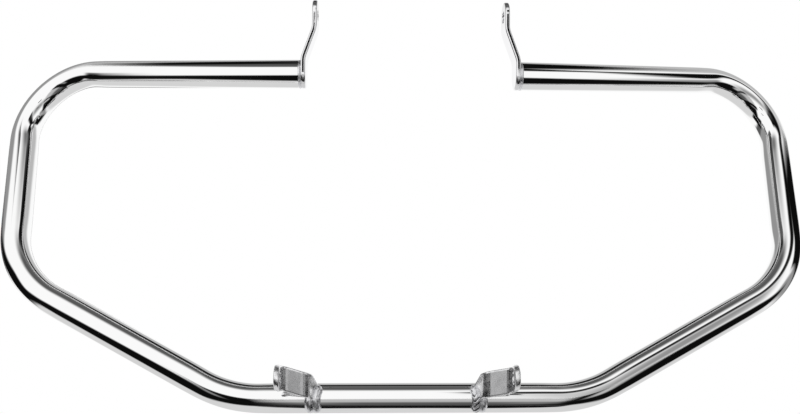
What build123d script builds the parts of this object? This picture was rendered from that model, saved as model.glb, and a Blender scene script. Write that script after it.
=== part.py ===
from build123d import *
import os
from math import atan, cos, radians, sin, tan

os.makedirs("parts", exist_ok=True)

# Engine guard of one bent tube with two upper tabs and two lower lugs, in millimetres.
# X points to the rider's right, Y forward, Z up.
# The origin is the middle of the lower bolt axis, halfway between the two lugs.

# Tube stock and bends
TUBE_OD = 25.4
TUBE_WALL = 2.4
CROSSBAR_BEND_R = 108.0
LOWER_BEND_R = 83.0
UPPER_BEND_R = 57.0

# Crossbar centre, measured from the lower bolt axis
CROSSBAR_X = 10.5
CROSSBAR_Y = 36.0
CROSSBAR_Z = -24.5

# Bend corners of one side, measured from the crossbar centre
CROSSBAR_HALF = 152.5
LOWER_CORNER_X = 346.0
LOWER_CORNER_Y = 28.0
LOWER_CORNER_Z = 99.0
UPPER_CORNER_X = 378.0
UPPER_CORNER_Y = 140.0
UPPER_CORNER_Z = 295.0

# Arm ends and upper tabs, measured from the crossbar centre
ARM_END_Y = 32.0
ARM_END_Z = 280.0
TAB_FACE_HALF = 97.0
TAB_PAIR_X = 2.0
TAB_WIDTH = 25.4
TAB_THICK = 4.2
TAB_HOLE_RISE = 53.0
TAB_JOG = 10.0
TAB_JOG_START = 13.0
TAB_JOG_END = 40.0
TAB_BEND_R = 20.0

# Lower lugs, bent from flat bar; distances out from the middle between the two lugs
LUG_WIDTH = 20.5
LUG_THICK = 4.6
LUG_EAR_X = 96.4
LUG_KNEE_X = 75.0
LUG_PANEL_Y = 14.0
LUG_LEG_ANGLE = 62.0
LUG_BEND_R = 6.5
LEFT_LUG_RISE = 0.30
LEFT_EAR_RISE = 0.16
RIGHT_LUG_RISE = 0.16
RIGHT_EAR_RISE = 0.38
LUG_LEG_DROP = 0.8
LUG_LEG_ROOT = 8.5
LUG_TOE = 9.0
LUG_KINK_SET = 3.0
LUG_EASE_R = 6.0

# Bolt holes and edges
BOLT_D = 10.0
BOLT_CLEARANCE = 0.5
TAB_EDGE_R = 1.3
LUG_EDGE_R = 0.8
HOLE_CHAMFER = 0.5

# Welds
TAB_BEVEL_LENGTH = 2.4
TAB_BEVEL_DEPTH = 1.9
TAB_BEAD_SINK = 0.9
LUG_BEAD_R = 4.2
LUG_BEAD_TOP = 40.0
LUG_BEAD_BOTTOM = -26.0

# Worked out from the sizes above
TUBE_R = TUBE_OD / 2
BORE_R = TUBE_R - TUBE_WALL
HOLE_R = (BOLT_D + BOLT_CLEARANCE) / 2
CROSSBAR = Vector(CROSSBAR_X, CROSSBAR_Y, CROSSBAR_Z)
SIDES = {"left": -1, "right": 1}


def corners(side):
    # Bend corners of one side, from the arm end down to the crossbar.
    end_x = side * TAB_FACE_HALF + TAB_PAIR_X
    end = Vector(end_x, ARM_END_Y, ARM_END_Z)
    upper = Vector(side * UPPER_CORNER_X, UPPER_CORNER_Y, UPPER_CORNER_Z)
    lower = Vector(side * LOWER_CORNER_X, LOWER_CORNER_Y, LOWER_CORNER_Z)
    inner = Vector(side * CROSSBAR_HALF, 0, 0)
    return [CROSSBAR + p for p in (end, upper, lower, inner)]


def arm_axis(side):
    # Direction of an upper arm, from its bend towards its tab.
    end, upper = corners(side)[:2]
    return (end - upper).normalized()


def tube_path():
    # Centreline of the whole tube, run past both arm ends so that they can be cut.
    over = 2 * TUBE_R
    left = corners(-1)
    right = corners(1)
    left[0] = left[0] + arm_axis(-1) * over
    right[0] = right[0] + arm_axis(1) * over
    bends = [UPPER_BEND_R, LOWER_BEND_R, CROSSBAR_BEND_R]
    return FilletPolyline(*left, *reversed(right), radius=bends + bends[::-1])


def sweep_round(path, radius):
    start = Plane(origin=path @ 0, z_dir=path % 0)
    return sweep(start * Circle(radius), path=path)


def arm_section(side, inset, offset):
    # Slanted section of an arm, on a plane across X at an offset from the tab face.
    axis = arm_axis(side)
    lean = abs(axis.X)
    end = corners(side)[0]
    centre = end + axis * (side * offset / axis.X)
    across = Vector(0, axis.Y, axis.Z).normalized()
    plane = Plane(origin=centre, x_dir=across, z_dir=(side, 0, 0))
    return plane * Ellipse(TUBE_R / lean - inset, TUBE_R - inset)


def end_block(side, outward, length):
    # Block standing on a tab face, wide enough to hold an arm end.
    end = corners(side)[0]
    size = 3 * TUBE_OD
    return Pos(end.X + side * outward * length / 2, end.Y, end.Z) * Box(length, size, size)


def make_tube():
    path = tube_path()
    tube = sweep_round(path, TUBE_R) - sweep_round(path, BORE_R)
    for side in SIDES.values():
        tube -= end_block(side, -1, 4 * TUBE_OD)
        land = loft(
            [arm_section(side, TAB_BEVEL_DEPTH, 0), arm_section(side, 0, TAB_BEVEL_LENGTH)],
            ruled=True,
        )
        tube -= end_block(side, 1, TAB_BEVEL_LENGTH) - land
    return tube


def make_tab_weld(side):
    # Bead in the bevel between an arm end and its tab, sunk a little at the tab.
    bead = loft(
        [arm_section(side, TAB_BEAD_SINK, 0), arm_section(side, 0, TAB_BEVEL_LENGTH)],
        ruled=True,
    )
    land = loft(
        [arm_section(side, TAB_BEVEL_DEPTH, 0), arm_section(side, 0, TAB_BEVEL_LENGTH)],
        ruled=True,
    )
    return bead - land


def make_tab(side):
    # Flat bar across the arm end, jogged towards the middle and rounded at both ends.
    end = corners(side)[0]
    low_x = end.X - side * TAB_THICK / 2
    high_x = low_x - side * TAB_JOG
    half = TAB_WIDTH / 2
    path = FilletPolyline(
        (low_x, end.Y, end.Z - half),
        (low_x, end.Y, end.Z + TAB_JOG_START),
        (high_x, end.Y, end.Z + TAB_JOG_END),
        (high_x, end.Y, end.Z + TAB_HOLE_RISE + half),
        radius=TAB_BEND_R,
    )
    start = Plane(origin=path @ 0, x_dir=(1, 0, 0), z_dir=(0, 0, 1))
    bar = sweep(start * Rectangle(TAB_THICK, TAB_WIDTH), path=path)
    face = Plane(origin=(0, end.Y, end.Z + TAB_HOLE_RISE / 2), x_dir=(0, 0, 1), z_dir=(1, 0, 0))
    outline = face * SlotCenterToCenter(TAB_HOLE_RISE, TAB_WIDTH)
    reach = abs(end.X) + TAB_JOG + TAB_THICK
    bar &= extrude(outline, reach, both=True)
    bar = fillet(bar.edges(), TAB_EDGE_R)
    return bar - bolt_hole(high_x, end.Y, end.Z + TAB_HOLE_RISE, TAB_THICK)


def bolt_hole(x, y, z, thick):
    # Bolt hole along X with both mouths broken.
    mouth = Cone(HOLE_R, HOLE_R + 2 * HOLE_CHAMFER, 2 * HOLE_CHAMFER)
    hole = Cylinder(HOLE_R, 2 * thick)
    hole += Pos(0, 0, thick / 2) * mouth
    hole += Pos(0, 0, -thick / 2) * Rot(180, 0, 0) * mouth
    return Pos(x, y, z) * Rot(0, 90, 0) * hole


def lug_bar():
    # Right-hand lug as a bent bar that is still too tall, its faces upright all along.
    root_y = CROSSBAR_Y - TUBE_R + LUG_LEG_ROOT
    root_x = LUG_KNEE_X - (root_y - LUG_PANEL_Y) / tan(radians(LUG_LEG_ANGLE))
    path = FilletPolyline(
        (root_x, root_y, 0),
        (LUG_KNEE_X, LUG_PANEL_Y, 0),
        (LUG_EAR_X, LUG_PANEL_Y, 0),
        (LUG_EAR_X, -LUG_WIDTH, 0),
        radius=LUG_BEND_R,
    )
    start = Plane(origin=path @ 0, x_dir=(0, 0, 1), z_dir=path % 0)
    return sweep(start * Rectangle(8 * LUG_WIDTH, LUG_THICK), path=path)


def lug_knee(rise):
    # Plane across the bar where the leg starts to drop, a little way past the knee's bend.
    lean = radians(LUG_LEG_ANGLE)
    ahead = Vector(-cos(lean), sin(lean), 0)
    knee = Vector(LUG_KNEE_X, LUG_PANEL_Y, 0)
    knee += ahead * (LUG_BEND_R * tan(lean / 2) + LUG_KINK_SET)
    knee.Z = -(rise.X * (knee.X - LUG_EAR_X) + rise.Y * knee.Y)
    return Plane(origin=knee, x_dir=(0, 0, 1), z_dir=ahead)


def lug_width(rise):
    # Band that cuts the bar to its width: it climbs along the panel and along the ear,
    # and drops more steeply along the leg, which is cut level at its toe.
    size = 8 * LUG_WIDTH
    tall = LUG_WIDTH / cos(atan(rise.Y))
    knee = lug_knee(rise)
    panel = Plane(origin=(LUG_EAR_X, 0, 0), z_dir=rise)
    leg = Plane(origin=knee.origin, z_dir=rise + knee.z_dir * LUG_LEG_DROP)
    beyond = knee * Pos(0, 0, size / 2) * Box(size, size, size)
    below = Pos(LUG_KNEE_X, CROSSBAR_Y, CROSSBAR_Z - LUG_TOE - size / 2) * Box(size, size, size)
    band = panel * Box(2 * size, 2 * size, tall * panel.z_dir.Z)
    slope = beyond & (leg * Box(2 * size, 2 * size, tall * leg.z_dir.Z))
    return band - beyond + (slope - below)


def make_lug(panel_rise, ear_rise):
    # Right-hand lug; its round end leans with the bar's edges, its hole lies along the bolt axis.
    rise = Vector(-panel_rise, ear_rise, 1)
    bar = lug_bar() & lug_width(rise)
    climb = atan(ear_rise)
    ear = Plane(origin=(LUG_EAR_X, 0, 0), x_dir=(0, -cos(climb), sin(climb)), z_dir=(1, 0, 0))
    block = Pos(LUG_WIDTH, 0) * Rectangle(2 * LUG_WIDTH, 4 * LUG_WIDTH)
    edge = Vector(1, 0, panel_rise)
    bar -= extrude(ear * (block - Circle(LUG_WIDTH / 2)), 2 * LUG_THICK, dir=edge, both=True)
    knee = lug_knee(rise)
    along = Axis(knee.origin, knee.z_dir)
    across = bar.edges().filter_by(knee).filter_by_position(along, -0.01, 0.01)
    bar = fillet(across.filter_by(Axis.Z, reverse=True), LUG_EASE_R)
    bar = fillet(bar.edges(), LUG_EDGE_R)
    bar -= bolt_hole(LUG_EAR_X, 0, 0, LUG_THICK)
    return bar - crossbar_core(LUG_WIDTH)


def crossbar_core(margin):
    # Solid round bar where the crossbar runs, between its bends.
    bar = Rot(0, 90, 0) * Cylinder(TUBE_R, 2 * (CROSSBAR_HALF - margin))
    return Pos(CROSSBAR_X, CROSSBAR_Y, CROSSBAR_Z) * bar


def make_lug_weld(lug, face):
    # Bead down the ellipse in which one face of the right-hand leg cuts the crossbar.
    lean = radians(LUG_LEG_ANGLE)
    ahead = Vector(-cos(lean), sin(lean), 0)
    knee = Vector(LUG_KNEE_X, LUG_PANEL_Y, CROSSBAR_Z)
    on_face = knee + Vector(sin(lean), cos(lean), 0) * (face * LUG_THICK / 2)
    centre = on_face + ahead * ((CROSSBAR_Y - on_face.Y) / sin(lean))
    plane = Plane(origin=centre, x_dir=ahead, z_dir=(sin(lean), cos(lean), 0))
    turn = LUG_BEAD_TOP - LUG_BEAD_BOTTOM
    path = plane * EllipticalCenterArc(
        (0, 0), TUBE_R / sin(lean), TUBE_R, 180 - LUG_BEAD_TOP, arc_size=turn
    )
    bead = sweep_round(path, LUG_BEAD_R)
    bead += Pos(*(path @ 0)) * Sphere(LUG_BEAD_R)
    bead += Pos(*(path @ 1)) * Sphere(LUG_BEAD_R)
    bead -= crossbar_core(LUG_WIDTH)
    return bead - lug


if __name__ == "__main__":
    export_step(make_tube(), "parts/guard_tube.step")
    for name, side in SIDES.items():
        export_step(make_tab(side), f"parts/{name}_upper_tab.step")
        export_step(make_tab_weld(side), f"parts/{name}_tab_weld.step")
    slopes = {"left": (LEFT_LUG_RISE, LEFT_EAR_RISE), "right": (RIGHT_LUG_RISE, RIGHT_EAR_RISE)}
    for name, slope in slopes.items():
        lug = make_lug(*slope)
        inner = make_lug_weld(lug, -1)
        outer = make_lug_weld(lug, 1) - inner
        pieces = {"lower_lug": lug, "lug_weld_inner": inner, "lug_weld_outer": outer}
        for piece, shape in pieces.items():
            if SIDES[name] < 0:
                shape = mirror(shape, about=Plane.YZ)
            export_step(shape, f"parts/{name}_{piece}.step")
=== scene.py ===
import math

import bmesh
import bpy
from bpy.props import (
    FloatProperty, FloatVectorProperty, IntProperty, PointerProperty,
)
from mathutils import Matrix, Vector


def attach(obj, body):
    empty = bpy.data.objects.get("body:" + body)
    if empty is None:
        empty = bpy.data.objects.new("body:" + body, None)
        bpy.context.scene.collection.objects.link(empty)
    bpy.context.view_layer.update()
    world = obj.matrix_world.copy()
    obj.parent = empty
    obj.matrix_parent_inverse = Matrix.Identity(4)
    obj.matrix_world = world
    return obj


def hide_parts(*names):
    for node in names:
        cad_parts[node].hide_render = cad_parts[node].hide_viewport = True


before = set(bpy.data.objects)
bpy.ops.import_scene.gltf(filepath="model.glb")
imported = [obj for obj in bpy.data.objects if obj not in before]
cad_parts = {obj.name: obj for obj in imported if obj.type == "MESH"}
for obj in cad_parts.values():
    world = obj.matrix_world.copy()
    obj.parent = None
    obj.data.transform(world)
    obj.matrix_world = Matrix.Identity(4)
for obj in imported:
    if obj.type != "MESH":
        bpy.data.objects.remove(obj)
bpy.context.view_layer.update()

bl_info = {
    "name": "Chromed Engine Guard",
    "version": (1, 0, 0),
    "blender": (4, 5, 0),
    "location": "View3D > Sidebar > Engine Guard",
    "description": "Builds a chromed engine guard and the studio that it stands in",
    "category": "Object",
}

SIDES = {"left": -1, "right": 1}
MM = 0.001

# Kinds of property
DISTANCE = {"subtype": "DISTANCE", "unit": "LENGTH"}
PLACE = {"subtype": "TRANSLATION", "unit": "LENGTH"}
TURN = {"subtype": "ANGLE", "unit": "ROTATION"}

# Meshes
MERGE_DISTANCE = 1e-6  # points nearer than this are one
ON_PLANE = 1e-5  # points nearer than this to a cut lie on it
TUBE_SHARP = math.radians(25)  # edges that turn more are left sharp
BAR_SHARP = math.radians(35)
FLATS_WEIGHT = 90  # how far a bar's flat faces hold their shading against its rounds
BUFF_FACTOR = 0.5

# Tube
BEND_POINTS = 48  # points in each bend of the tube's line
BEND_REACH = 4  # rings to each side over which a bend is measured
END_REACH = 40 * MM  # faces nearer than this to an arm's end may be cut

# Weld beads
BEAD_SIDES = 40
RIPPLE_RINGS = 7.0  # rings in each ripple
UNEVEN_SCALE = 220.0  # waves of a bead's thickness in each metre
UNEVEN_LEAST, UNEVEN_SHARE = 0.95, 0.08
VALLEY_POWER = 2.0
LOW_SHADE_FROM, LOW_SHADE_FULL, LOW_SHADE_LEAST = 0.15, 0.6, 0.25  # painted shade along a bead, growing from its top towards its lower end
UNSHADED_DEPTH = 0.4  # depth of the ripples in a bead without painted valley shade, as a share of a fully shaded one's
LUG_FACES = ((-1, "inner", 1.0), (1, "outer", 0.3))  # a leg's faces, with their share of ripples
LUG_POINTS, TAB_POINTS = 40, 96  # points in a bead's line
LUG_SEED, TAB_SEED, TAB_FIRST_SEED = 3.0, 5.0, 20.0

# Chrome plate. Scales are in each metre, and waves are the depth and length of those in the metal.
CLOUDS = {"Scale": 38.0, "Detail": 3.0, "Roughness": 0.55}
HAZE = {"Scale": 160.0, "Detail": 4.0, "Roughness": 0.6}
CLOUD_DIM = 0.965
HAZE_FROM, HAZE_FULL = 0.3, 0.75
POLISH_BEST, POLISH_WORST = 0.6, 1.5  # shares of a finish's roughness
SWELL_DETAIL = 1.5
TUBE_WAVE = (0.02 * MM, 30 * MM)
BAR_WAVE = (0.04 * MM, 8 * MM)
WELD_WAVE = (0.01 * MM, 2 * MM)
# Painted shade: a weld bead's valleys are darkened towards this colour, between these shares of the
# shade attribute.
VALLEY_SHADE_COLOUR = (0.03, 0.03, 0.03, 1.0)
VALLEY_SHADE_FROM, VALLEY_SHADE_FULL = 0.25, 0.7

# Studio
WHITE = (1.0, 1.0, 1.0, 1.0)
FELT_GRAIN = {"Scale": 300.0, "Detail": 2.0}
FELT_DARK, FELT_PALE = 0.97, 1.03  # shades in the grain, as shares of the felt's grey
CARD_STEP = 2.0  # degrees between a card's points
FLOOR_GRAIN = {"Scale": 9.0, "Detail": 3.0}
FLOOR_DIM = 0.985
FLOOR_ROUGHNESS = 0.7
FLOOR_FADE = 0.55  # where the floor starts to fade out, as a share of its radius
FLOOR_SEGMENTS = 96
FLOOR_SETBACK = 0.1  # how far the floor's middle lies behind the lower bolts
SENSOR_WIDTH = 36.0
CLIP_START = 0.01

# Felt cards that stand round the guard in a white studio and show only in its reflections. Azimuth
# 0 looks from the guard towards the camera and grows to the camera's right; elevation 0 is level.
# All in degrees. A card with a tilt climbs by that many degrees for each degree to its right. Later
# cards hang nearer, in front of earlier ones.
FELTS = {"black": 0.004, "dark": 0.10, "grey": 0.30, "light": 0.50, "pale": 0.68}
# name, azimuth, elevation, half width, half height, softness, tilt, felt
STUDIO_CARDS = (
    ("floor sweep", 0, -60, 180, 35, 8, 0, "pale"),
    ("back wall", 180, 38, 75, 12, 8, 0, "light"),
    ("left wall", -125, 20, 35, 24, 6, 0, "grey"),
    ("right wall", 110, 40, 20, 10, 6, 0, "light"),
    ("back top flag", 175, 62, 120, 12, 5, 0, "black"),
    ("ceiling", 0, 90, 180, 20, 10, 0, "dark"),
    ("left top card", -75, 58, 22, 7, 3, 0, "dark"),
    ("right top flag", 43, 46, 31, 8, 3, 0, "black"),
    ("right card", 32, 18, 14, 20, 12, 0, "grey"),
    ("right low card", 98, -6, 30, 14, 6, 0, "grey"),
    ("right side flag", 95, 16, 25, 15, 3, -0.6, "black"),
    ("left rim flag", -130, 2, 30, 8, 4, 0, "dark"),
    ("left side flag", -92, -7, 24, 19, 4, 0, "black"),
    ("front low flag", 5, -28, 80, 24, 4, 0, "black"),
    ("front band", 5, -12, 35, 10, 5, 0, "light"),
    ("front floor flag", 10, -62, 32, 12, 3, 0, "black"),
    ("front gap", 5, -18, 14, 20, 5, 0, "light"),
    ("front gap foot", 5, -34, 15, 12, 8, 0, "dark"),
    ("left stand", -20, -12, 8, 16, 3, 0, "black"),
    ("right stand", 26, -12, 4, 14, 3, 0, "black"),
)


class GuardTubeSizes(bpy.types.PropertyGroup):
    """Sizes of the bent tube, measured from the crossbar's centre"""
    diameter: FloatProperty(
        name="Outside diameter", description="Outside diameter of the tube stock",
        default=25.4 * MM, min=0.005, **DISTANCE)
    crossbar: FloatVectorProperty(
        name="Crossbar centre", description="Centre of the crossbar from the lower bolt axis",
        default=(10.5 * MM, 36.0 * MM, -24.5 * MM), **PLACE)
    crossbar_half: FloatProperty(
        name="Crossbar half length", description="Half the crossbar, to its bend corners",
        default=152.5 * MM, **DISTANCE)
    lower_corner: FloatVectorProperty(
        name="Lower corner", description="Bend corner below the side run",
        default=(346.0 * MM, 28.0 * MM, 99.0 * MM), **PLACE)
    upper_corner: FloatVectorProperty(
        name="Upper corner", description="Bend corner between the side run and the arm",
        default=(378.0 * MM, 140.0 * MM, 295.0 * MM), **PLACE)
    arm_end: FloatVectorProperty(
        name="Arm end", description="Centre of the arm's end on the tab's face",
        default=(97.0 * MM, 32.0 * MM, 280.0 * MM), **PLACE)
    tab_shift: FloatProperty(
        name="Tab shift", description="How far the pair of tabs stands to the right",
        default=2.0 * MM, **DISTANCE)
    upper_bend: FloatProperty(
        name="Upper bend radius", description="Centreline radius of the upper bends",
        default=57.0 * MM, **DISTANCE)
    lower_bend: FloatProperty(
        name="Lower bend radius", description="Centreline radius of the lower bends",
        default=83.0 * MM, **DISTANCE)
    crossbar_bend: FloatProperty(
        name="Crossbar bend radius", description="Centreline radius of the crossbar's bends",
        default=108.0 * MM, **DISTANCE)
    step: FloatProperty(
        name="Ring spacing", description="Distance between rings of the skin",
        default=3.0 * MM, min=0.001, **DISTANCE)
    sides: IntProperty(
        name="Sides", description="Faces around the tube", default=96, min=12)
    flattening: FloatProperty(
        name="Flattening", description="Loss of diameter in the tightest bend",
        default=0.06, min=0.0, max=0.2, subtype="FACTOR")
    wrinkle: FloatProperty(
        name="Wrinkle depth", description="Waves on the inner side of the tightest bend",
        default=0.12 * MM, min=0.0, **DISTANCE)
    wrinkle_length: FloatProperty(
        name="Wrinkle length", description="Length of one wave along the tube",
        default=9.0 * MM, min=0.001, **DISTANCE)
    bevel_length: FloatProperty(
        name="End bevel length", description="Length of the bevel at an arm's end",
        default=2.4 * MM, **DISTANCE)
    bevel_depth: FloatProperty(
        name="End bevel depth", description="Depth of the bevel at an arm's end",
        default=1.9 * MM, **DISTANCE)


class GuardWeldSizes(bpy.types.PropertyGroup):
    """Sizes of the weld beads"""
    lug_bead: FloatProperty(
        name="Lug bead radius", description="Radius of the beads down a lug's leg",
        default=4.2 * MM, min=0.0005, **DISTANCE)
    lug_top: FloatProperty(
        name="Lug bead top", description="Where the bead starts, above the tube's rear line",
        default=math.radians(40.0), **TURN)
    lug_bottom: FloatProperty(
        name="Lug bead bottom", description="Where the bead ends, above the tube's rear line",
        default=math.radians(-26.0), **TURN)
    tab_bead: FloatProperty(
        name="Tab bead radius", description="Radius of the bead round an arm's end",
        default=1.5 * MM, min=0.0005, **DISTANCE)
    lug_pitch: FloatProperty(
        name="Lug ripple pitch", description="Distance between the ripples of a lug's bead",
        default=3.4 * MM, min=0.0003, **DISTANCE)
    lug_depth: FloatProperty(
        name="Lug ripple depth", description="Depth of the valleys in a lug's bead",
        default=0.45 * MM, min=0.0, **DISTANCE)
    tab_pitch: FloatProperty(
        name="Tab ripple pitch", description="Distance between the ripples of a tab's bead",
        default=3.0 * MM, min=0.0003, **DISTANCE)
    tab_depth: FloatProperty(
        name="Tab ripple depth", description="Depth of the valleys in a tab's bead",
        default=0.08 * MM, min=0.0, **DISTANCE)
    # Painted shade in the ripple valleys of the left and right lugs' beads.
    soot: FloatVectorProperty(
        name="Soot", description="Darkness of the valleys in the left and right lugs' beads",
        default=(0.0, 1.0), size=2, min=0.0, max=1.0)
    sweep: FloatProperty(
        name="Ripple sweep", description="How far the ripples sweep back at the bead's edges",
        default=0.9)


class GuardLugSizes(bpy.types.PropertyGroup):
    """Where the lower lugs meet the crossbar"""
    knee: FloatVectorProperty(
        name="Knee", description="Bend between a lug's panel and its leg, out from the middle",
        default=(75.0 * MM, 14.0 * MM), size=2, **PLACE)
    leg_angle: FloatProperty(
        name="Leg angle", description="Turn of the leg from the panel, in plan",
        default=math.radians(62.0), **TURN)
    thickness: FloatProperty(
        name="Bar thickness", description="Thickness of the flat bar",
        default=4.6 * MM, min=0.001, **DISTANCE)


class GuardFinish(bpy.types.PropertyGroup):
    """The chrome plate"""
    tube_colour: FloatVectorProperty(
        name="Tube chrome", description="Reflectance of the polished tube",
        default=(0.97, 0.97, 0.97), size=3, min=0.0, max=1.0, subtype="COLOR")
    bar_colour: FloatVectorProperty(
        name="Bar chrome", description="Reflectance of the plated flat bar",
        default=(0.90, 0.90, 0.91), size=3, min=0.0, max=1.0, subtype="COLOR")
    weld_colour: FloatVectorProperty(
        name="Weld chrome", description="Reflectance of the plated weld beads",
        default=(0.86, 0.86, 0.88), size=3, min=0.0, max=1.0, subtype="COLOR")
    tube_roughness: FloatProperty(
        name="Tube roughness", description="Roughness of the polished tube",
        default=0.03, min=0.0, max=1.0, subtype="FACTOR")
    bar_roughness: FloatProperty(
        name="Bar roughness", description="Roughness of the flat bar",
        default=0.05, min=0.0, max=1.0, subtype="FACTOR")
    lug_roughness: FloatProperty(
        name="Lug roughness", description="Roughness of the lugs, duller than the tabs",
        default=0.26, min=0.0, max=1.0, subtype="FACTOR")
    weld_roughness: FloatProperty(
        name="Weld roughness", description="Roughness of the beads",
        default=0.36, min=0.0, max=1.0, subtype="FACTOR")
    buff_grid: FloatProperty(
        name="Buffing grid", description="Size of the faces that buffing rounds over",
        default=0.30 * MM, min=0.0002, **DISTANCE)
    buff_passes: IntProperty(
        name="Buffing passes", description="How far buffing rounds the bar's edges",
        default=45, min=0)


class GuardStudio(bpy.types.PropertyGroup):
    """Camera, floor and light"""
    camera_place: FloatVectorProperty(
        name="Camera", description="Where the camera stands",
        default=(-19.2 * MM, -645.7 * MM, 138.0 * MM), **PLACE)
    camera_yaw: FloatProperty(
        name="Camera yaw", description="Turn of the camera about the upright",
        default=math.radians(-1.83), **TURN)
    camera_roll: FloatProperty(
        name="Camera roll", description="Turn of the camera about its line of sight",
        default=math.radians(-0.29), **TURN)
    lens: FloatProperty(
        name="Lens", description="Focal length on a 36 mm sensor",
        default=36.0, min=1.0, subtype="DISTANCE_CAMERA")
    floor_height: FloatProperty(
        name="Floor height", description="Height of the floor under the guard",
        default=-0.30, **DISTANCE)
    floor_radius: FloatProperty(
        name="Floor radius", description="Radius of the round floor",
        default=0.95, min=0.1, **DISTANCE)
    floor_colour: FloatVectorProperty(
        name="Floor colour", description="Colour of the pale floor",
        default=(0.86, 0.86, 0.86), size=3, min=0.0, max=1.0, subtype="COLOR")
    left_flag: FloatVectorProperty(
        name="Left flag",
        description="Middle of the black card left of the camera, across and up",
        default=(-145.0 * MM, 418.0 * MM), size=2, **PLACE)
    right_flag: FloatVectorProperty(
        name="Right flag",
        description="Middle of the black card right of the camera, across and up",
        default=(224.0 * MM, 438.0 * MM), size=2, **PLACE)
    flag_size: FloatVectorProperty(
        name="Flag size", description="Width and height of the black cards beside the camera",
        default=(54.0 * MM, 124.0 * MM), size=2, subtype="XYZ_LENGTH", unit="LENGTH")
    card_distance: FloatProperty(
        name="Card distance", description="Distance of the furthest felt card",
        default=2.0, min=0.5, **DISTANCE)
    card_gap: FloatProperty(
        name="Card gap", description="How much nearer each next felt card hangs",
        default=0.02, min=0.001, **DISTANCE)
    room_light: FloatProperty(
        name="Room light", description="Strength of the soft light from all round",
        default=0.55, min=0.0, max=2.0)
    lamp_place: FloatVectorProperty(
        name="Softbox", description="Where the softbox hangs, facing the guard",
        default=(-0.8, -0.9, 2.0), **PLACE)
    lamp_size: FloatProperty(
        name="Softbox size", description="Width of the round softbox",
        default=0.35, min=0.01, **DISTANCE)
    lamp_power: FloatProperty(
        name="Softbox power", description="Power of the softbox",
        default=31.0, min=0.0, unit="POWER")


class GuardSettings(bpy.types.PropertyGroup):
    """All sizes and finishes of the guard"""
    tube: PointerProperty(
        type=GuardTubeSizes, name="Tube", description="Sizes of the bent tube")
    weld: PointerProperty(
        type=GuardWeldSizes, name="Welds", description="Sizes of the weld beads")
    lug: PointerProperty(
        type=GuardLugSizes, name="Lugs", description="Where the lower lugs meet the crossbar")
    finish: PointerProperty(
        type=GuardFinish, name="Finish", description="The chrome plate")
    studio: PointerProperty(
        type=GuardStudio, name="Studio", description="Camera, floor and light")


# Node tree helpers

def add(tree, kind, inputs=None, **settings):
    """A node with its settings made and its inputs linked or set."""
    made = tree.nodes.new(kind)
    for key, value in settings.items():
        setattr(made, key, value)
    for key, value in (inputs or {}).items():
        if isinstance(value, bpy.types.NodeSocket):
            tree.links.new(value, made.inputs[key])
        else:
            made.inputs[key].default_value = value
    return made


def calc(tree, operation, *values):
    """A math node's result."""
    return add(tree, "ShaderNodeMath", dict(enumerate(values)), operation=operation).outputs[0]


def vector(tree, operation, *values):
    """A vector math node's vector result."""
    made = add(tree, "ShaderNodeVectorMath", dict(enumerate(values)), operation=operation)
    return made.outputs["Vector"]


def measure(tree, operation, *values):
    """A vector math node's number result."""
    made = add(tree, "ShaderNodeVectorMath", dict(enumerate(values)), operation=operation)
    return made.outputs["Value"]


def scaled(tree, value, factor):
    """A vector times a number."""
    made = add(tree, "ShaderNodeVectorMath", {0: value, "Scale": factor}, operation="SCALE")
    return made.outputs["Vector"]


def new_tree(name, sockets):
    """An empty geometry tree with named inputs, its input node and its output node."""
    tree = bpy.data.node_groups.new(name, "GeometryNodeTree")
    tree.is_modifier = True
    face = tree.interface
    face.new_socket("Geometry", in_out="INPUT", socket_type="NodeSocketGeometry")
    for label, kind in sockets:
        face.new_socket(label, in_out="INPUT", socket_type="NodeSocket" + kind)
    face.new_socket("Geometry", in_out="OUTPUT", socket_type="NodeSocketGeometry")
    return tree, add(tree, "NodeGroupInput").outputs, add(tree, "NodeGroupOutput")


def keep_on_points(tree, geometry, fields):
    """Captures named fields on the points; gives the geometry and the captured sockets."""
    held = add(tree, "GeometryNodeCaptureAttribute", domain="POINT")
    for label, (kind, socket) in fields.items():
        held.capture_items.new(kind, label)
        tree.links.new(socket, held.inputs[label])
    tree.links.new(geometry, held.inputs["Geometry"])
    return held.outputs["Geometry"], {label: held.outputs[label] for label in fields}


def close_tree(tree, out, geometry, material):
    """Smooth shading, realised instances and the material, then the tree's output."""
    smooth = add(tree, "GeometryNodeSetShadeSmooth", {"Geometry": geometry})
    real = add(tree, "GeometryNodeRealizeInstances", {"Geometry": smooth.outputs[0]})
    plated = add(
        tree, "GeometryNodeSetMaterial", {"Geometry": real.outputs[0], "Material": material})
    tree.links.new(plated.outputs[0], out.inputs["Geometry"])


def grow(name, mesh, tree, values):
    """Runs a tree on a line mesh and gives the result as a plain mesh."""
    line = bpy.data.objects.new(name + "_line", mesh)
    bpy.context.scene.collection.objects.link(line)
    modifier = line.modifiers.new(tree.name, "NODES")
    modifier.node_group = tree
    sockets = {
        item.name: item.identifier for item in tree.interface.items_tree
        if item.item_type == "SOCKET" and item.in_out == "INPUT"
    }
    for label, value in values.items():
        modifier[sockets[label]] = value
    shown = line.evaluated_get(bpy.context.evaluated_depsgraph_get())
    made = bpy.data.meshes.new_from_object(shown)
    line.modifiers.remove(modifier)
    bpy.data.objects.remove(line)
    bpy.data.meshes.remove(mesh)
    if not made.polygons:
        raise RuntimeError(f"{name}: the tree made no faces")
    made.name = name
    return made


def line_mesh(name, points, closed=False, numbers=None, vectors=None):
    """A mesh of edges through the points, with named numbers or vectors on the points."""
    last = len(points) if closed else len(points) - 1
    mesh = bpy.data.meshes.new(name + "_path")
    mesh.from_pydata(points, [(i, (i + 1) % len(points)) for i in range(last)], [])
    for label, values in (numbers or {}).items():
        held = mesh.attributes.new(label, "FLOAT", "POINT")
        held.data.foreach_set("value", values)
    for label, values in (vectors or {}).items():
        held = mesh.attributes.new(label, "FLOAT_VECTOR", "POINT")
        held.data.foreach_set("vector", [x for v in values for x in v])
    return mesh


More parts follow.
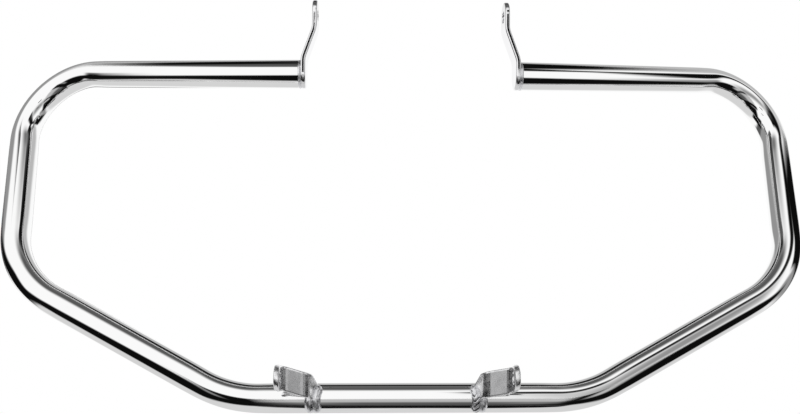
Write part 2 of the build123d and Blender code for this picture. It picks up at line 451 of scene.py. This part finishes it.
def put(name, mesh, slot, *nodes):
    """Adds a finished mesh to the guard in place of the CAD nodes."""
    piece = bpy.data.objects.new(name, mesh)
    bpy.context.scene.collection.objects.link(piece)
    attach(piece, "root")
    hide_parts(*nodes)


# Finishes

def chrome(name, colour, roughness, wave, with_valley_shade=False):
    """Chrome plate: slight clouding of its colour and polish, and a faint wave of the metal below.
    With painted shade on, the piece's shade attribute darkens it, as painted shade in the valleys
    of a weld bead."""
    if name in bpy.data.materials:
        return bpy.data.materials[name]
    made = bpy.data.materials.new(name)
    made.use_nodes = True
    tree = made.node_tree
    tree.nodes.clear()
    place = add(tree, "ShaderNodeTexCoord").outputs["Object"]
    cloud = add(tree, "ShaderNodeTexNoise", {"Vector": place, **CLOUDS}).outputs["Fac"]
    dim = tuple(CLOUD_DIM * c for c in colour)
    tint = add(tree, "ShaderNodeMix", {
        "Factor": cloud, 6: (*dim, 1.0), 7: (*colour, 1.0)}, data_type="RGBA").outputs[2]
    # Painted shade: the colour darkens towards black where the bead's valleys carry the shade
    # attribute.
    if with_valley_shade:
        soot = add(tree, "ShaderNodeAttribute", attribute_name="soot").outputs["Fac"]
        deep = add(tree, "ShaderNodeMapRange", {
            "Value": soot, "From Min": VALLEY_SHADE_FROM, "From Max": VALLEY_SHADE_FULL,
            "To Min": 0.0, "To Max": 1.0},
            interpolation_type="SMOOTHSTEP").outputs["Result"]
        tint = add(tree, "ShaderNodeMix", {
            "Factor": deep, 6: tint, 7: VALLEY_SHADE_COLOUR}, data_type="RGBA").outputs[2]
    haze = add(tree, "ShaderNodeTexNoise", {"Vector": place, **HAZE}).outputs["Fac"]
    polish = add(tree, "ShaderNodeMapRange", {
        "Value": haze, "From Min": HAZE_FROM, "From Max": HAZE_FULL,
        "To Min": POLISH_BEST * roughness, "To Max": POLISH_WORST * roughness}).outputs["Result"]
    depth, length = wave
    swell = add(tree, "ShaderNodeTexNoise", {
        "Vector": place, "Scale": 1.0 / length, "Detail": SWELL_DETAIL}).outputs["Fac"]
    bump = add(tree, "ShaderNodeBump", {
        "Height": swell, "Strength": 1.0, "Distance": depth}).outputs["Normal"]
    plate = add(tree, "ShaderNodeBsdfPrincipled", {
        "Base Color": tint, "Roughness": polish, "Normal": bump, "Metallic": 1.0})
    out = add(tree, "ShaderNodeOutputMaterial")
    tree.links.new(plate.outputs[0], out.inputs["Surface"])
    return made


def tube_chrome(finish):
    """Bright plate over polished tube."""
    return chrome("tube chrome", finish.tube_colour, finish.tube_roughness, TUBE_WAVE)


def bar_chrome(finish):
    """Plate over the tabs' flat bar."""
    return chrome("bar chrome", finish.bar_colour, finish.bar_roughness, BAR_WAVE)


def lug_chrome(finish):
    """Duller plate over the lugs' flat bar."""
    return chrome("lug chrome", finish.bar_colour, finish.lug_roughness, BAR_WAVE)


def weld_chrome(finish):
    """Rough plate over the beads, with painted shade darkening their ripple valleys."""
    return chrome(
        "weld chrome", finish.weld_colour, finish.weld_roughness, WELD_WAVE, with_valley_shade=True)


# Tube

def corners(sizes, side):
    """Bend corners of one side, from the arm's end down to the crossbar."""
    middle = Vector(sizes.crossbar)
    flip = Matrix.Diagonal((side, 1.0, 1.0))
    end = flip @ Vector(sizes.arm_end) + Vector((sizes.tab_shift, 0.0, 0.0))
    upper = flip @ Vector(sizes.upper_corner)
    lower = flip @ Vector(sizes.lower_corner)
    inner = Vector((side * sizes.crossbar_half, 0.0, 0.0))
    return [middle + p for p in (end, upper, lower, inner)]


def arm_axis(sizes, side):
    """Direction of an arm, from its bend towards its tab."""
    end, upper = corners(sizes, side)[:2]
    return (end - upper).normalized()


def tube_tree():
    """Skin of a bent tube on a line of corners: it flattens and wrinkles a little in its bends."""
    tree, into, out = new_tree("Bent tube", (
        ("Diameter", "Float"), ("Sides", "Int"), ("Step", "Float"), ("Flattening", "Float"),
        ("Tightest", "Float"), ("Wrinkle", "Float"), ("Wrinkle Length", "Float"),
        ("Material", "Material")))
    line = add(tree, "GeometryNodeMeshToCurve", {"Mesh": into["Geometry"]}).outputs[0]
    bend_radius = add(tree, "GeometryNodeInputNamedAttribute", {"Name": "bend_radius"},
                      data_type="FLOAT").outputs["Attribute"]
    bent = add(tree, "GeometryNodeFilletCurve", {
        "Curve": line, "Count": BEND_POINTS, "Radius": bend_radius}, mode="POLY").outputs[0]
    even = add(tree, "GeometryNodeResampleCurve", {
        "Curve": bent, "Length": into["Step"]}, mode="LENGTH").outputs[0]
    tangent = add(tree, "GeometryNodeInputTangent").outputs[0]
    index = add(tree, "GeometryNodeInputIndex").outputs[0]
    ahead, behind = (
        add(tree, "GeometryNodeFieldAtIndex", {
            "Value": tangent, "Index": calc(tree, "ADD", index, float(step))},
            data_type="FLOAT_VECTOR", domain="POINT").outputs[0]
        for step in (BEND_REACH, -BEND_REACH))
    turn = vector(tree, "SUBTRACT", ahead, behind)
    span = calc(tree, "MULTIPLY", into["Step"], 2.0 * BEND_REACH)
    # The turn in each length, as a share of the tightest bend's
    tightness = calc(tree, "DIVIDE", into["Tightest"], span)
    length = add(tree, "GeometryNodeSplineParameter").outputs["Length"]
    centre = add(tree, "GeometryNodeInputPosition").outputs[0]
    even, held = keep_on_points(tree, even, {
        "Bend": ("VECTOR", scaled(tree, turn, tightness)),
        "Centre": ("VECTOR", centre),
        "Along": ("FLOAT", length),
    })
    radius = calc(tree, "MULTIPLY", into["Diameter"], 0.5)
    ring = add(tree, "GeometryNodeCurvePrimitiveCircle", {
        "Resolution": into["Sides"], "Radius": radius}).outputs[0]
    skin = add(tree, "GeometryNodeCurveToMesh", {"Curve": even, "Profile Curve": ring}).outputs[0]
    place = add(tree, "GeometryNodeInputPosition").outputs[0]
    offset = vector(tree, "SUBTRACT", place, held["Centre"])
    inward = vector(tree, "NORMALIZE", held["Bend"])
    bend = calc(tree, "MINIMUM", measure(tree, "LENGTH", held["Bend"]), 1.0)
    depth = measure(tree, "DOT_PRODUCT", offset, inward)
    loss = calc(tree, "MULTIPLY", calc(tree, "MULTIPLY", depth, -1.0),
                calc(tree, "MULTIPLY", bend, into["Flattening"]))
    flat = scaled(tree, inward, loss)
    inside = calc(tree, "MAXIMUM", calc(tree, "DIVIDE", depth, radius), 0.0)
    wave = add(tree, "ShaderNodeTexNoise", {
        "W": calc(tree, "DIVIDE", held["Along"], into["Wrinkle Length"]), "Scale": 1.0,
        "Detail": 1.0}, noise_dimensions="1D").outputs["Fac"]
    wave = calc(tree, "SUBTRACT", wave, 0.5)
    crease = calc(tree, "MULTIPLY", calc(tree, "MULTIPLY", wave, into["Wrinkle"]),
                  calc(tree, "MULTIPLY", bend, calc(tree, "MULTIPLY", inside, inside)))
    out_way = vector(tree, "NORMALIZE", offset)
    move = vector(tree, "ADD", flat, scaled(tree, out_way, crease))
    shaped = add(tree, "GeometryNodeSetPosition", {"Geometry": skin, "Offset": move}).outputs[0]
    close_tree(tree, out, shaped, into["Material"])
    return tree


def trim_arm(work, sizes, side):
    """Cuts an arm at its tab and bevels the end for the weld."""
    axis = arm_axis(sizes, side)
    end = corners(sizes, side)[0]
    cut = end - axis * (sizes.bevel_length / abs(axis.x))
    near = [f for f in work.faces if abs(f.calc_center_median().x - end.x) < END_REACH
            and f.calc_center_median().z > end.z - END_REACH]
    geometry = list({e for f in near for e in f.edges}) + near
    geometry += list({v for f in near for v in f.verts})
    bmesh.ops.bisect_plane(
        work, geom=geometry, plane_co=cut, plane_no=(-side, 0, 0), clear_outer=True)
    rim = [e for e in work.edges if e.is_boundary
           and all(abs(v.co.x - cut.x) < ON_PLANE for v in e.verts)]
    edge = bmesh.ops.extrude_edge_only(work, edges=rim)["geom"]
    shrink = 1.0 - 2.0 * sizes.bevel_depth / sizes.diameter
    for item in edge:
        if isinstance(item, bmesh.types.BMVert):
            item.co = end + (item.co - cut) * shrink
    rim = [e for e in work.edges if e.is_boundary
           and all(abs(v.co.x - end.x) < ON_PLANE for v in e.verts)]
    bmesh.ops.contextual_create(work, geom=rim)


class GUARD_OT_tube(bpy.types.Operator):
    """Bend the guard's tube and trim its arms for the tabs"""
    bl_idname = "guard.tube"
    bl_label = "Bend Tube"

    def execute(self, context):
        settings = context.scene.engine_guard
        sizes = settings.tube
        bends = [0.0, sizes.upper_bend, sizes.lower_bend, sizes.crossbar_bend]
        left, right = (corners(sizes, side) for side in SIDES.values())
        # The arms run on past their tabs, and are trimmed below.
        left[0] += arm_axis(sizes, SIDES["left"]) * sizes.diameter
        right[0] += arm_axis(sizes, SIDES["right"]) * sizes.diameter
        path = line_mesh("guard_tube", left + right[::-1],
                         numbers={"bend_radius": bends + bends[::-1]})
        mesh = grow("bent_tube", path, tube_tree(), {
            "Diameter": sizes.diameter, "Sides": sizes.sides, "Step": sizes.step,
            "Flattening": sizes.flattening, "Tightest": sizes.upper_bend,
            "Wrinkle": sizes.wrinkle, "Wrinkle Length": sizes.wrinkle_length,
            "Material": tube_chrome(settings.finish)})
        work = bmesh.new()
        work.from_mesh(mesh)
        for side in SIDES.values():
            trim_arm(work, sizes, side)
        bmesh.ops.recalc_face_normals(work, faces=work.faces)
        for face in work.faces:
            face.smooth = len(face.verts) < 5  # all but the two end caps
        for edge in work.edges:
            edge.smooth = edge.is_manifold and edge.calc_face_angle(0.0) < TUBE_SHARP
        work.to_mesh(mesh)
        work.free()
        put("bent_tube", mesh, "tube_chrome", "guard_tube")
        return {"FINISHED"}


# Flat bar pieces

def plated_copy(name, node, material, buffing=None):
    """Merged copy of a CAD node in flat bar. Buffing, a grid and passes, rounds its edges over."""
    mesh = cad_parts[node].data.copy()
    mesh.materials.clear()
    mesh.materials.append(material)
    work = bmesh.new()
    work.from_mesh(mesh)
    bmesh.ops.remove_doubles(work, verts=work.verts, dist=MERGE_DISTANCE)
    for face in work.faces:
        face.smooth = True
        face.material_index = 0
    for edge in work.edges:
        edge.smooth = edge.is_manifold and edge.calc_face_angle(0.0) < BAR_SHARP
    work.to_mesh(mesh)
    work.free()
    holder = bpy.data.objects.new(name + "_shape", mesh)
    bpy.context.scene.collection.objects.link(holder)
    if buffing:
        grid = holder.modifiers.new("Even Faces", "REMESH")
        grid.mode = "VOXEL"
        grid.voxel_size, passes = buffing
        grid.use_smooth_shade = True
        buff = holder.modifiers.new("Buff", "SMOOTH")
        buff.factor = BUFF_FACTOR
        buff.iterations = passes
    else:
        level = holder.modifiers.new("Flats", "WEIGHTED_NORMAL")
        level.weight = FLATS_WEIGHT
        level.keep_sharp = True
    shown = holder.evaluated_get(bpy.context.evaluated_depsgraph_get())
    made = bpy.data.meshes.new_from_object(shown)
    bpy.data.objects.remove(holder)
    bpy.data.meshes.remove(mesh)
    made.name = name
    return made


class GUARD_OT_tabs(bpy.types.Operator):
    """Plate the two upper tabs"""
    bl_idname = "guard.tabs"
    bl_label = "Plate Upper Tabs"

    def execute(self, context):
        finish = context.scene.engine_guard.finish
        for name in SIDES:
            node = f"{name}_upper_tab"
            mesh = plated_copy(f"{name}_tab_bar", node, bar_chrome(finish))
            put(f"{name}_tab_bar", mesh, "bar_chrome", node)
        return {"FINISHED"}


class GUARD_OT_lugs(bpy.types.Operator):
    """Plate the two lower lugs"""
    bl_idname = "guard.lugs"
    bl_label = "Plate Lower Lugs"

    def execute(self, context):
        finish = context.scene.engine_guard.finish
        for name in SIDES:
            node = f"{name}_lower_lug"
            mesh = plated_copy(f"{name}_lug_bar", node, lug_chrome(finish),
                               (finish.buff_grid, finish.buff_passes))
            put(f"{name}_lug_bar", mesh, "bar_chrome", node)
        return {"FINISHED"}


# Welds

def bead_tree():
    """Rippled weld bead on a line whose points carry the way to the bead's crest."""
    name = "Weld bead"
    if name in bpy.data.node_groups:
        return bpy.data.node_groups[name]
    tree, into, out = new_tree(name, (
        ("Radius", "Float"), ("Pitch", "Float"), ("Depth", "Float"), ("Sweep", "Float"),
        ("Round Ends", "Float"), ("Soot", "Float"), ("Seed", "Float"), ("Material", "Material")))
    line = add(tree, "GeometryNodeMeshToCurve", {"Mesh": into["Geometry"]}).outputs[0]
    step = calc(tree, "DIVIDE", into["Pitch"], RIPPLE_RINGS)
    even = add(tree, "GeometryNodeResampleCurve", {
        "Curve": line, "Length": step}, mode="LENGTH").outputs[0]
    crest = add(tree, "GeometryNodeInputNamedAttribute", {"Name": "crest"},
                data_type="FLOAT_VECTOR").outputs["Attribute"]
    tangent = add(tree, "GeometryNodeInputTangent").outputs[0]
    length = add(tree, "GeometryNodeSplineParameter").outputs["Length"]
    whole = add(tree, "GeometryNodeSplineLength").outputs["Length"]
    left = calc(tree, "SUBTRACT", whole, length)
    near = calc(tree, "DIVIDE", calc(tree, "MINIMUM", length, left), into["Radius"])
    short = calc(tree, "SUBTRACT", 1.0, calc(tree, "MINIMUM", near, 1.0))
    dome = calc(tree, "SQRT", calc(tree, "SUBTRACT", 1.0, calc(tree, "MULTIPLY", short, short)))
    ends = calc(tree, "SUBTRACT", 1.0, into["Round Ends"])
    dome = calc(tree, "MAXIMUM", dome, ends)
    uneven = add(tree, "ShaderNodeTexNoise", {
        "W": calc(tree, "ADD", calc(tree, "MULTIPLY", length, UNEVEN_SCALE), into["Seed"]),
        "Scale": 1.0, "Detail": 1.0}, noise_dimensions="1D").outputs["Fac"]
    uneven = calc(tree, "ADD", calc(tree, "MULTIPLY", uneven, UNEVEN_SHARE), UNEVEN_LEAST)
    even, held = keep_on_points(tree, even, {
        "Lateral": ("VECTOR", vector(tree, "CROSS_PRODUCT", tangent, crest)),
        "Centre": ("VECTOR", add(tree, "GeometryNodeInputPosition").outputs[0]),
        "Along": ("FLOAT", length),
        "Dome": ("FLOAT", dome),
        "Share": ("FLOAT", calc(tree, "DIVIDE", length, whole)),
    })
    ring = add(tree, "GeometryNodeCurvePrimitiveCircle", {
        "Resolution": BEAD_SIDES, "Radius": into["Radius"]}).outputs[0]
    skin = add(tree, "GeometryNodeCurveToMesh", {
        "Curve": even, "Profile Curve": ring,
        "Scale": calc(tree, "MULTIPLY", dome, uneven)}).outputs[0]
    place = add(tree, "GeometryNodeInputPosition").outputs[0]
    offset = vector(tree, "SUBTRACT", place, held["Centre"])
    aside = calc(tree, "ABSOLUTE", measure(tree, "DOT_PRODUCT", offset, held["Lateral"]))
    phase = calc(tree, "ADD", held["Along"], calc(tree, "MULTIPLY", aside, into["Sweep"]))
    beat = calc(tree, "FRACT", calc(tree, "DIVIDE", phase, into["Pitch"]))
    valley = calc(tree, "POWER", calc(tree, "ABSOLUTE", calc(
        tree, "SUBTRACT", calc(tree, "MULTIPLY", beat, 2.0), 1.0)), VALLEY_POWER)
    cut = calc(tree, "MULTIPLY", calc(tree, "MULTIPLY", valley, into["Depth"]),
               calc(tree, "MULTIPLY", held["Dome"], -1.0))
    move = scaled(tree, vector(tree, "NORMALIZE", offset), cut)
    shaped = add(tree, "GeometryNodeSetPosition", {"Geometry": skin, "Offset": move}).outputs[0]
    # Painted shade in the ripple valleys, growing towards the bead's lower end.
    lower_shade = add(tree, "ShaderNodeMapRange", {
        "Value": held["Share"], "From Min": LOW_SHADE_FROM, "From Max": LOW_SHADE_FULL,
        "To Min": LOW_SHADE_LEAST, "To Max": 1.0}, interpolation_type="SMOOTHSTEP").outputs["Result"]
    dark = calc(tree, "MULTIPLY", calc(tree, "MULTIPLY", valley, into["Soot"]), lower_shade)
    with_valley_shade = add(tree, "GeometryNodeStoreNamedAttribute", {
        "Geometry": shaped, "Name": "soot", "Value": dark},
        data_type="FLOAT", domain="POINT").outputs[0]
    close_tree(tree, out, with_valley_shade, into["Material"])
    return tree


def make_bead(name, line, closed, ripples, seed, settings):
    """One rippled bead along a line. Ripples are its radius, pitch, depth and painted valley shade.
    """
    points, crests = line
    radius, pitch, depth, soot = ripples
    path = line_mesh(name, points, closed, vectors={"crest": crests})
    mesh = grow(name, path, bead_tree(), {
        "Radius": radius, "Pitch": pitch, "Depth": depth, "Sweep": settings.weld.sweep,
        "Round Ends": 0.0 if closed else 1.0, "Soot": soot, "Seed": seed,
        "Material": weld_chrome(settings.finish)})
    work = bmesh.new()
    work.from_mesh(mesh)
    bmesh.ops.remove_doubles(work, verts=work.verts, dist=MERGE_DISTANCE)
    bmesh.ops.recalc_face_normals(work, faces=work.faces)
    work.to_mesh(mesh)
    work.free()
    return mesh


def lug_line(settings, side, face):
    """Points and crest directions down the line in which a leg's face cuts the crossbar."""
    lug, weld = settings.lug, settings.weld
    middle = Vector(settings.tube.crossbar)
    tube_r = settings.tube.diameter / 2
    lean = lug.leg_angle
    ahead = Vector((-math.cos(lean), math.sin(lean), 0.0))
    across = Vector((math.sin(lean), math.cos(lean), 0.0))
    knee = Vector((lug.knee[0], lug.knee[1], middle.z))
    on_face = knee + across * (face * lug.thickness / 2)
    centre = on_face + ahead * ((middle.y - on_face.y) / math.sin(lean))
    spare = weld.lug_bead / tube_r
    start = math.pi - weld.lug_top - spare
    turn = weld.lug_top - weld.lug_bottom + 2 * spare
    flip = Matrix.Diagonal((side, 1.0, 1.0))
    points, crests = [], []
    for i in range(LUG_POINTS + 1):
        angle = start + turn * i / LUG_POINTS
        level = Vector((0.0, 0.0, tube_r * math.sin(angle)))
        points.append(flip @ (centre + ahead * (tube_r / math.sin(lean) * math.cos(angle)) + level))
        out_way = Vector((0.0, math.cos(angle), math.sin(angle)))
        crests.append(flip @ (out_way + across * face).normalized())
    return points, crests


class GUARD_OT_lug_welds(bpy.types.Operator):
    """Lay the beads down both faces of each lug's leg"""
    bl_idname = "guard.lug_welds"
    bl_label = "Weld Lower Lugs"

    def execute(self, context):
        settings = context.scene.engine_guard
        weld = settings.weld
        for seed, (name, side) in enumerate(SIDES.items()):
            soot = weld.soot[seed]
            for face, where, share in LUG_FACES:
                # The ripple depth follows the painted valley shade, and the last ripple value is
                # that painted shade.
                depth = share * (UNSHADED_DEPTH + (1.0 - UNSHADED_DEPTH) * soot) * weld.lug_depth
                ripples = (weld.lug_bead, weld.lug_pitch, depth, share * soot)
                label = f"{name}_lug_bead_{where}"
                line = lug_line(settings, side, face)
                mesh = make_bead(label, line, False, ripples, LUG_SEED * seed + face, settings)
                put(label, mesh, "weld_chrome", f"{name}_lug_weld_{where}")
        return {"FINISHED"}


def tab_line(settings, side):
    """Points and crest directions round an arm's end, in its bevel."""
    sizes, bead = settings.tube, settings.weld.tab_bead
    axis = arm_axis(sizes, side)
    end = corners(sizes, side)[0]
    centre = end - axis * (sizes.bevel_length / 2 / abs(axis.x))
    flat = Vector((0.0, axis.y, axis.z)).normalized()
    level = Vector((1.0, 0.0, 0.0)).cross(flat)
    wide = sizes.diameter / 2 / abs(axis.x) - bead
    high = sizes.diameter / 2 - bead
    points, crests = [], []
    for i in range(TAB_POINTS):
        angle = 2 * math.pi * i / TAB_POINTS
        points.append(centre + flat * (wide * math.cos(angle)) + level * (high * math.sin(angle)))
        crests.append((flat * math.cos(angle) + level * math.sin(angle)).normalized())
    return points, crests


class GUARD_OT_tab_welds(bpy.types.Operator):
    """Lay the bead between each arm and its tab"""
    bl_idname = "guard.tab_welds"
    bl_label = "Weld Upper Tabs"

    def execute(self, context):
        settings = context.scene.engine_guard
        weld = settings.weld
        ripples = (weld.tab_bead, weld.tab_pitch, weld.tab_depth, 0.0)
        for seed, (name, side) in enumerate(SIDES.items()):
            label = f"{name}_tab_bead"
            line = tab_line(settings, side)
            first = TAB_FIRST_SEED + TAB_SEED * seed
            mesh = make_bead(label, line, True, ripples, first, settings)
            put(label, mesh, "weld_chrome", f"{name}_tab_weld")
        return {"FINISHED"}


# Studio

def studio_world(studio):
    """White to the camera, to chrome and through glass, and even soft light to the rest."""
    world = bpy.data.worlds.new("studio")
    world.use_nodes = True
    tree = world.node_tree
    tree.nodes.clear()
    path = add(tree, "ShaderNodeLightPath").outputs
    plain = add(tree, "ShaderNodeBackground", {"Color": WHITE, "Strength": studio.room_light})
    clear = add(tree, "ShaderNodeBackground", {"Color": WHITE, "Strength": 1.0})
    seen = calc(tree, "MAXIMUM", path["Is Camera Ray"], calc(
        tree, "MAXIMUM", path["Is Glossy Ray"], path["Is Transmission Ray"]))
    final = add(tree, "ShaderNodeMixShader", {0: seen, 1: plain.outputs[0], 2: clear.outputs[0]})
    out = add(tree, "ShaderNodeOutputWorld")
    tree.links.new(final.outputs[0], out.inputs["Surface"])
    return world


def felt(name, level, soft_edge):
    """Matt felt of one grey with a faint grain. A soft edge thins out by the card's cover."""
    made = bpy.data.materials.new(name)
    made.use_nodes = True
    tree = made.node_tree
    tree.nodes.clear()
    place = add(tree, "ShaderNodeTexCoord").outputs["Object"]
    grain = add(tree, "ShaderNodeTexNoise", {"Vector": place, **FELT_GRAIN}).outputs["Fac"]
    dark, pale = ((*[share * level] * 3, 1.0) for share in (FELT_DARK, FELT_PALE))
    tint = add(
        tree, "ShaderNodeMix", {"Factor": grain, 6: dark, 7: pale}, data_type="RGBA").outputs[2]
    # Felt shows its own evenly lit grey and lights nothing else.
    shown = add(tree, "ShaderNodeEmission", {"Color": tint, "Strength": 1.0}).outputs[0]
    made.cycles.emission_sampling = "NONE"
    if soft_edge:
        cover = add(tree, "ShaderNodeAttribute", attribute_name="cover").outputs["Fac"]
        clear = add(tree, "ShaderNodeBsdfTransparent").outputs[0]
        shown = add(tree, "ShaderNodeMixShader", {0: cover, 1: clear, 2: shown}).outputs[0]
    out = add(tree, "ShaderNodeOutputMaterial")
    tree.links.new(shown, out.inputs["Surface"])
    return made


def card_cover(apart, half, soft):
    """1 within half of a card's middle and 0 outside, with a soft edge."""
    share = min(max((half + soft - abs(apart)) / (2.0 * soft), 0.0), 1.0)
    return share * share * (3.0 - 2.0 * share)


def spread(half, step):
    """Even places from -half to half, about a step apart."""
    count = math.ceil(2.0 * half / step)
    return [half * (2.0 * i / count - 1.0) for i in range(count + 1)]


def studio_card(row, distance):
    """Mesh of one felt card, curved round the guard at a distance."""
    name, azimuth, elevation, wide, high, soft, tilt, shade = row
    all_round = wide >= 180
    columns = spread(wide if all_round else wide + soft, CARD_STEP)
    rows = [r for r in spread(high + soft, CARD_STEP) if abs(elevation + r) <= 90.0]
    points, covers = [], []
    for aside in columns:
        for above in rows:
            around = math.radians(azimuth + aside)
            up = math.radians(elevation + tilt * aside + above)
            way = Vector((math.sin(around) * math.cos(up), -math.cos(around) * math.cos(up),
                          math.sin(up)))
            points.append(distance * way)
            across = 1.0 if all_round else card_cover(aside, wide, soft)
            covers.append(across * card_cover(above, high, soft))
    tall = len(rows)
    faces = [(i * tall + j, (i + 1) * tall + j, (i + 1) * tall + j + 1, i * tall + j + 1)
             for i in range(len(columns) - 1) for j in range(tall - 1)]
    mesh = bpy.data.meshes.new(name)
    mesh.from_pydata(points, [], faces)
    mesh.attributes.new("cover", "FLOAT", "POINT").data.foreach_set("value", covers)
    mesh.materials.append(felt(f"{shade} felt, {name}", FELTS[shade], True))
    return mesh


def floor_paint(studio):
    """Pale matt floor that fades out at its rim."""
    made = bpy.data.materials.new("pale floor")
    made.use_nodes = True
    tree = made.node_tree
    tree.nodes.clear()
    place = add(tree, "ShaderNodeTexCoord").outputs["Object"]
    flat = vector(tree, "MULTIPLY", place, (1.0, 1.0, 0.0))
    away = measure(tree, "LENGTH", flat)
    grain = add(tree, "ShaderNodeTexNoise", {"Vector": place, **FLOOR_GRAIN}).outputs["Fac"]
    colour = tuple(studio.floor_colour)
    dim = tuple(FLOOR_DIM * c for c in colour)
    tint = add(tree, "ShaderNodeMix", {
        "Factor": grain, 6: (*dim, 1.0), 7: (*colour, 1.0)}, data_type="RGBA").outputs[2]
    paint = add(
        tree, "ShaderNodeBsdfPrincipled", {"Base Color": tint, "Roughness": FLOOR_ROUGHNESS})
    clear = add(tree, "ShaderNodeBsdfTransparent")
    fade = add(tree, "ShaderNodeMapRange", {
        "Value": away, "From Min": FLOOR_FADE * studio.floor_radius,
        "From Max": studio.floor_radius, "To Min": 0.0, "To Max": 1.0},
        interpolation_type="SMOOTHSTEP").outputs["Result"]
    mixed = add(tree, "ShaderNodeMixShader", {
        0: fade, 1: paint.outputs[0], 2: clear.outputs[0]})
    out = add(tree, "ShaderNodeOutputMaterial")
    tree.links.new(mixed.outputs[0], out.inputs["Surface"])
    return made


def camera_flag(studio, name, middle):
    """Mesh of an upright black card beside the camera, which a tab's edge reflects."""
    reach = Vector(studio.flag_size) / 2
    low, high = Vector(middle) - reach, Vector(middle) + reach
    depth = studio.camera_place[1]
    mesh = bpy.data.meshes.new(name)
    mesh.from_pydata([(low.x, depth, low.y), (high.x, depth, low.y), (high.x, depth, high.y),
                      (low.x, depth, high.y)], [], [(0, 1, 2, 3)])
    mesh.materials.append(felt(f"black felt, {name}", FELTS["black"], False))
    return mesh


def floor_mesh(studio):
    """Mesh of the round floor under the guard."""
    work = bmesh.new()
    bmesh.ops.create_circle(
        work, cap_ends=True, segments=FLOOR_SEGMENTS, radius=studio.floor_radius)
    bmesh.ops.translate(work, verts=work.verts, vec=(0.0, FLOOR_SETBACK, studio.floor_height))
    mesh = bpy.data.meshes.new("floor")
    work.to_mesh(mesh)
    work.free()
    mesh.materials.append(floor_paint(studio))
    return mesh


def softbox(studio):
    """Round soft lamp that gives the floor the guard's shadow."""
    lamp = bpy.data.lights.new("softbox", "AREA")
    lamp.shape = "DISK"
    lamp.size = studio.lamp_size
    lamp.energy = studio.lamp_power
    return lamp


def photo_camera(scene, studio):
    """Sets the camera where the photograph's stood."""
    lens = bpy.data.cameras.new("photo camera")
    lens.lens = studio.lens
    lens.sensor_width = SENSOR_WIDTH
    lens.clip_start = CLIP_START
    camera = bpy.data.objects.new("photo camera", lens)
    scene.collection.objects.link(camera)
    turn = Matrix.Rotation(studio.camera_yaw, 4, "Z") @ Matrix.Rotation(
        studio.camera_roll, 4, "Y") @ Matrix.Rotation(math.pi / 2, 4, "X")
    camera.matrix_world = Matrix.Translation(studio.camera_place) @ turn
    scene.camera = camera


def staged(scene, data, *unseen):
    """Adds an object of the stage that the rays named as unseen don't meet."""
    item = bpy.data.objects.new(data.name, data)
    scene.collection.objects.link(item)
    for ray in unseen:
        setattr(item, "visible_" + ray, False)
    return item


class GUARD_OT_stage(bpy.types.Operator):
    """Set the floor, the studio light and the camera"""
    bl_idname = "guard.stage"
    bl_label = "Set Stage"

    def execute(self, context):
        scene = context.scene
        studio = scene.engine_guard.studio
        scene.world = studio_world(studio)
        # Chrome finds the studio by its own reflections, so the sky isn't also sampled as a lamp.
        scene.world.cycles.sampling_method = "NONE"
        scene.view_settings.view_transform = "Standard"
        # The card that sweeps under the guard stands for the floor in the chrome.
        staged(scene, floor_mesh(studio), "glossy")
        cards = [camera_flag(studio, "left camera flag", studio.left_flag),
                 camera_flag(studio, "right camera flag", studio.right_flag)]
        for i, row in enumerate(STUDIO_CARDS):
            cards.append(studio_card(row, studio.card_distance - i * studio.card_gap))
        for mesh in cards:
            staged(scene, mesh, "camera", "diffuse", "shadow")
        lamp = staged(scene, softbox(studio), "camera", "glossy")
        lamp.location = studio.lamp_place
        lamp.rotation_euler = (-Vector(studio.lamp_place)).to_track_quat("-Z", "Y").to_euler()
        photo_camera(scene, studio)
        return {"FINISHED"}


class GUARD_PT_sidebar(bpy.types.Panel):
    """Sizes and steps of the engine guard"""
    bl_idname = "GUARD_PT_sidebar"
    bl_label = "Engine Guard"
    bl_space_type = "VIEW_3D"
    bl_region_type = "UI"
    bl_category = "Engine Guard"

    def draw(self, context):
        settings = context.scene.engine_guard
        for part in settings.__annotations__:
            group = getattr(settings, part)
            box = self.layout.box()
            box.label(text=settings.bl_rna.properties[part].name)
            for label in group.__annotations__:
                box.prop(group, label)
        for step in STEPS:
            self.layout.operator(step.bl_idname)


STEPS = (
    GUARD_OT_stage, GUARD_OT_tube, GUARD_OT_tabs, GUARD_OT_lugs, GUARD_OT_tab_welds,
    GUARD_OT_lug_welds,
)
CLASSES = (
    GuardTubeSizes, GuardWeldSizes, GuardLugSizes, GuardFinish, GuardStudio, GuardSettings,
    *STEPS, GUARD_PT_sidebar,
)


def register():
    for item in CLASSES:
        bpy.utils.register_class(item)
    bpy.types.Scene.engine_guard = PointerProperty(type=GuardSettings)


def unregister():
    del bpy.types.Scene.engine_guard
    for item in reversed(CLASSES):
        bpy.utils.unregister_class(item)


def main():
    register()
    bpy.ops.guard.stage()
    bpy.ops.guard.tube()
    bpy.ops.guard.tabs()
    bpy.ops.guard.lugs()
    bpy.ops.guard.tab_welds()
    bpy.ops.guard.lug_welds()


if __name__ == "__main__":
    main()
